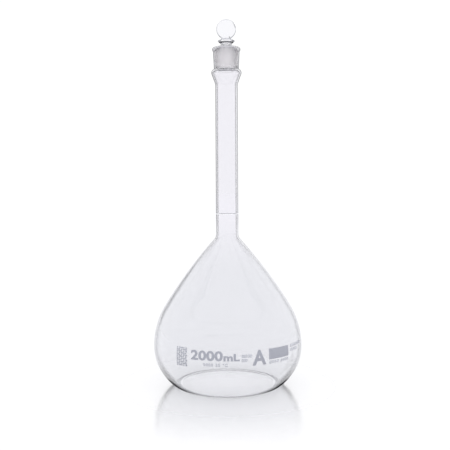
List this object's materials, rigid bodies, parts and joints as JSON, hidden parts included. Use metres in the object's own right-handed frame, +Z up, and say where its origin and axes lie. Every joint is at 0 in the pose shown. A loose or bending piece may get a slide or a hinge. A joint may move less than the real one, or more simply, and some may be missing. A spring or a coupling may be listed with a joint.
{
  "type": "volumetric flask",
  "caption": "Pear-shaped glass volumetric flask with a long neck, a graduation ring, a ground socket, a round-headed ground glass stopper and printed marks.",
  "frame": {"origin": "middle of the foot ring, on the bench", "axes": "+Z up along the flask's axis, towards the stopper; -Y is the printed side; +X is to the right of the print"},
  "size_m": [0.1646, 0.1647, 0.4072],
  "materials": {
    "clear_glass": "polished",
    "socket_glass": "satin",
    "stopper_glass": "gloss",
    "enamel": "satin"
  },
  "bodies": {
    "flask": {"bulb": "clear_glass", "neck_tube": "clear_glass", "ground_socket": "socket_glass", "graduation_ring": "enamel", "capacity_mark": "enamel", "class_mark": "enamel", "marking_spot": "enamel", "maker_mark": "enamel", "temperature_print": "enamel", "tolerance_print": "enamel", "batch_print": "enamel", "origin_print": "enamel"},
    "stopper": {"stopper": "stopper_glass"}
  },
  "joints": [
    {"name": "stopper_lift", "type": "slide", "parent": "flask", "child": "stopper", "axis": [0, 0, 1], "range_m": [0, 0.06]}
  ]
}
